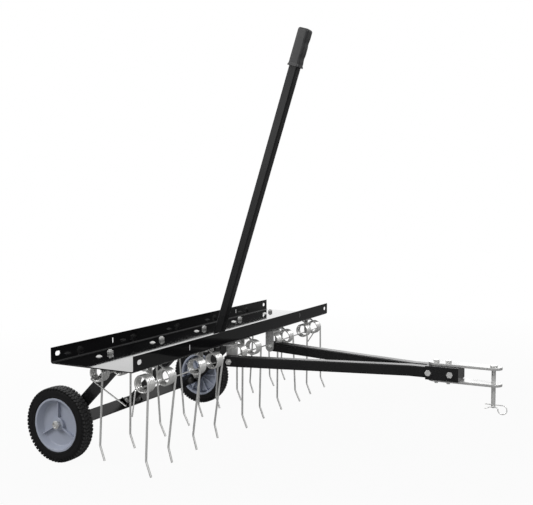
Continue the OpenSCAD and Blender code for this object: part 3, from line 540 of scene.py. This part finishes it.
# Hand grip
# A soft black vinyl sleeve, pushed over the lever's end, closed and rounded at
# the top, with shallow finger waves in front and a thin lip at its mouth.
vinyl, tree, shader, skin = new_finish("vinyl", (0.38, 0.5), cells=700.0,
                                       relief=0.25, height=0.0003)
two_tone(tree, shader, skin.outputs["Cloud"], (0.016, 0.016, 0.017), (0.024, 0.024, 0.025))
lever_foot = Vector((-0.7037, -0.030, tray_low.z))
lever_lean = math.radians(18)
grip_low, grip_high = 0.71965, 0.81365
grip_half = 0.0150
lip_half = 0.0165
lip_high = grip_low + 0.003
bore_half = 0.0113
bore_depth = grip_high - grip_low - 0.0034
corner_round = 0.006
top_round = 0.0058
wave_depth = 0.0013
wave_count = 2.5
wave_start = 0.35
waves_end = 0.9
cuts = 30
cut_step = (grip_high - 0.008 - grip_low) / cuts
mesh = bmesh.new()
bmesh.ops.create_cube(mesh, size=1, matrix=Matrix.Translation(
    (0, 0, (grip_low + grip_high) / 2)) @ Matrix.Diagonal(
    (2 * grip_half, 2 * grip_half, grip_high - grip_low, 1)))
bmesh.ops.bevel(mesh, geom=[e for e in mesh.edges if e.calc_length() > 0.05],
                offset=corner_round, affect="EDGES", segments=6, profile=0.5,
                material=-1)
bmesh.ops.bevel(mesh, geom=[e for e in mesh.edges
                            if min(v.co.z for v in e.verts) > grip_high - 1e-5],
                offset=top_round, affect="EDGES", segments=6, profile=0.5, material=-1)
for i in range(cuts):
    bmesh.ops.bisect_plane(mesh, geom=[*mesh.verts, *mesh.edges, *mesh.faces],
                           plane_co=(0, 0, lip_high + i * cut_step),
                           plane_no=(0, 0, 1))
for v in mesh.verts:
    along = (v.co.z - grip_low) / (grip_high - grip_low)
    if v.co.z < lip_high + 0.0005:
        v.co.x *= lip_half / grip_half
        v.co.y *= lip_half / grip_half
    elif along < waves_end:
        wave = max(0.0, math.sin(math.tau * (wave_count * along - wave_start)))
        v.co.x -= wave_depth * wave * max(0.0, v.co.x / grip_half)
mouth = min(mesh.faces, key=lambda f: f.calc_center_median().z)
bmesh.ops.inset_region(mesh, faces=[mouth], thickness=lip_half - bore_half)
bore = bmesh.ops.extrude_face_region(mesh, geom=[mouth])["geom"]
bmesh.ops.delete(mesh, geom=[mouth], context="FACES_ONLY")
bmesh.ops.translate(mesh, vec=(0, 0, bore_depth),
                    verts=[v for v in bore if isinstance(v, bmesh.types.BMVert)])
bmesh.ops.recalc_face_normals(mesh, faces=mesh.faces)
bmesh.ops.transform(mesh, verts=mesh.verts,
                    matrix=Matrix.Translation(lever_foot) @ Matrix.Rotation(lever_lean, 4, "Y"))
finish_piece(mesh, "grip_sleeve", "lift_frame", vinyl, ["hand_grip"])

# Axles
# A shouldered bolt through each hub and arm, with a washer and a nut inside.
tyre_low, tyre_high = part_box("tyre_left")
axle_x, wheel_y, axle_z = (tyre_low + tyre_high) / 2
hub_end = 0.0180
hub_recess = 0.0100
for node, name in (("axle_bolts", "axles"), ("axle_washers", "axle_rings"),
                   ("axle_nuts", "axle_end_nuts")):
    mesh = eased(node, 0.0007)
    for v in mesh.verts:
        if abs(v.co.y) > wheel_y + hub_end - 0.0002:
            v.co.y -= math.copysign(hub_recess, v.co.y)
    finish_piece(mesh, name, "lift_frame", zinc_hardware, [node])

# Rims
# Injection-moulded blue-grey plastic: a hub, a deeply dished web with three ribs
# outside and twelve inside, and a barrel with two lips that hold the tyre.
rim_plastic, tree, shader, skin = new_finish("rim_plastic", (0.42, 0.52), cells=1100.0,
                                             relief=0.12)
two_tone(tree, shader, skin.outputs["Cloud"], (0.39, 0.42, 0.50), (0.36, 0.39, 0.47))
rim_line = [(6.6, 8), (16.3, 8), (17, 7.3), (17, 1.6), (18, 0.5), (52, 0.5),
            (53.6, 1.0), (54.8, 2.4), (57.6, 8.6), (60.6, 14.6), (61.2, 15.5),
            (62.2, 16), (66, 16), (66.5, 15.5), (66.5, 14), (66, 13.5),
            (63.5, 13.5), (63.5, -13.5), (66, -13.5), (66.5, -14), (66.5, -15.5),
            (66, -16), (61, -16), (60.5, -15.5), (60.5, 7), (58.5, 4.5),
            (56, -2.8), (55, -3.5), (16, -3.5), (16, -17.4), (15.4, -18), (6.6, -18)]


def turned(line, steps):
    """A closed outline of radius and width, in mm, spun about the axle's line."""
    mesh = bmesh.new()
    ring = [mesh.verts.new((r / 1000, w / 1000, 0)) for r, w in line]
    edges = [mesh.edges.new(pair) for pair in zip(ring, ring[1:] + ring[:1])]
    bmesh.ops.spin(mesh, geom=ring + edges, cent=(0, 0, 0), axis=(0, 1, 0),
                   angle=math.tau, steps=steps, use_merge=True)
    bmesh.ops.recalc_face_normals(mesh, faces=mesh.faces)
    return mesh


def block(mesh, low, high, turn=0.0, slant=0.0, ease=0.0):
    """Adds a block between two corners, turned about the axle, its edges eased."""
    low, high = Vector(low), Vector(high)
    skew = Matrix.Identity(4)
    skew[2][1] = slant
    shape = (Matrix.Rotation(turn, 4, "Y") @ skew
             @ Matrix.Translation((low + high) / 2)
             @ Matrix.Diagonal((*(high - low), 1)))
    made = bmesh.ops.create_cube(mesh, size=1, matrix=shape)["verts"]
    if ease:
        edges = list({e for v in made for e in v.link_edges})
        made = bmesh.ops.bevel(mesh, geom=edges, offset=ease, affect="EDGES",
                               segments=1, profile=0.5, material=-1)["verts"]
    return made


outer_ribs, inner_ribs = 3, 12
for side, out in (("left", 1), ("right", -1)):
    mesh = turned(rim_line, 96)
    for i in range(outer_ribs):
        block(mesh, (0.0155, -0.0005, -0.0019), (0.0562, 0.0079, 0.0019),
              turn=-math.tau * (0.25 + i / outer_ribs), ease=0.0006)
    for i in range(inner_ribs):
        block(mesh, (0.0145, -0.013, -0.0015), (0.0612, -0.0015, 0.0015),
              turn=math.tau * i / inner_ribs, ease=0.0004)
    if out < 0:
        bmesh.ops.scale(mesh, vec=(1, -1, 1), verts=mesh.verts)
        bmesh.ops.reverse_faces(mesh, faces=mesh.faces)
    bmesh.ops.translate(mesh, vec=(axle_x, out * wheel_y, axle_z), verts=mesh.verts)
    finish_piece(mesh, f"rim_moulding_{side}", f"wheel_{side}", rim_plastic,
                 [f"rim_{side}"])

# Tyres
# Black rubber moulded on to the rim: a plain sidewall with one shallow ring, and
# a tread of small blocks in slanted rows, with wide low ones at the shoulders.
rubber, tree, shader, _ = new_finish("rubber", (0.44, 0.58), cells=500.0,
                                     clouds=22.0, relief=0.2, height=0.0003)
shader.inputs["IOR"].default_value = 1.25
# The tread, further from the axle's line, is painted a lighter grey than the sidewalls: a
# painted sheen standing in for the light its top and side catch
sidewall_radius, tread_radius = 0.0895, 0.0925
across = place(tree, "ShaderNodeVectorMath",
               {0: place(tree, "ShaderNodeTexCoord").outputs["Object"], 1: (1, 0, 1)},
               operation="MULTIPLY")
out_from = place(tree, "ShaderNodeVectorMath",
                 {0: across.outputs[0], 1: (axle_x, 0, axle_z)}, operation="DISTANCE")
tread_sheen = place(tree, "ShaderNodeMapRange",
              {"Value": out_from.outputs["Value"], "From Min": sidewall_radius,
               "From Max": tread_radius}, interpolation_type="SMOOTHSTEP")
two_tone(tree, shader, tread_sheen.outputs[0], (0.007, 0.007, 0.0075), (0.06, 0.06, 0.061))
half_tyre = [(63.7, 13.3), (66.7, 13.4), (66.8, 15.6), (67.8, 16.5), (70.5, 16.9),
             (72.4, 16.9), (73.0, 16.4), (73.8, 16.4), (74.4, 16.9), (80.5, 16.9),
             (84.5, 16.6), (85.2, 15.9), (86.6, 15.9), (88.8, 15.0), (90.2, 13.2),
             (90.9, 10.5), (91.1, 6)]
tyre_line = half_tyre + [(r, -w) for r, w in reversed(half_tyre)]
blocks_round = 60
pitch = math.tau / blocks_round
# How far the tread falls away at its sides, as metres per metre of width squared
crown = 4.4
shoulder_y, shoulder_half, shoulder_width = 0.0137, 0.0033, 0.0036
middle_y, middle_half, middle_width = 0.0064, 0.0032, 0.0029
centre_half, centre_width = 0.0022, 0.0031
shoulder_root, tread_root = 0.0865, 0.0900
shoulder_top, tread_top = 0.0932, 0.0930
for side, out in (("left", 1), ("right", -1)):
    mesh = turned(tyre_line, 120)
    lugs = []
    for half in (1, -1):
        shift = 0.5 if half < 0 else 0
        y = half * shoulder_y
        lugs += block(mesh, (shoulder_root, y - shoulder_half, -shoulder_width),
                      (shoulder_top, y + shoulder_half, shoulder_width),
                      turn=shift * pitch, slant=half * 0.2, ease=0.0010)
        y = half * middle_y
        lugs += block(mesh, (tread_root, y - middle_half, -middle_width),
                      (tread_top, y + middle_half, middle_width),
                      turn=(shift + 0.5) * pitch, slant=-half * 0.55, ease=0.0006)
    lugs += block(mesh, (tread_root, -centre_half, -centre_width),
                  (tread_top, centre_half, centre_width),
                  turn=0.25 * pitch, slant=0.5, ease=0.0006)
    for v in lugs:
        v.co.x -= crown * v.co.y ** 2
    lug_parts = lugs + list({e for v in lugs for e in v.link_edges}) \
        + list({f for v in lugs for f in v.link_faces})
    bmesh.ops.spin(mesh, geom=lug_parts, cent=(0, 0, 0), axis=(0, 1, 0),
                   angle=math.tau * (blocks_round - 1) / blocks_round,
                   steps=blocks_round - 1, use_duplicate=True)
    bmesh.ops.translate(mesh, vec=(axle_x, out * wheel_y, axle_z), verts=mesh.verts)
    finish_piece(mesh, f"tyre_rubber_{side}", f"wheel_{side}", rubber,
                 [f"tyre_{side}"])
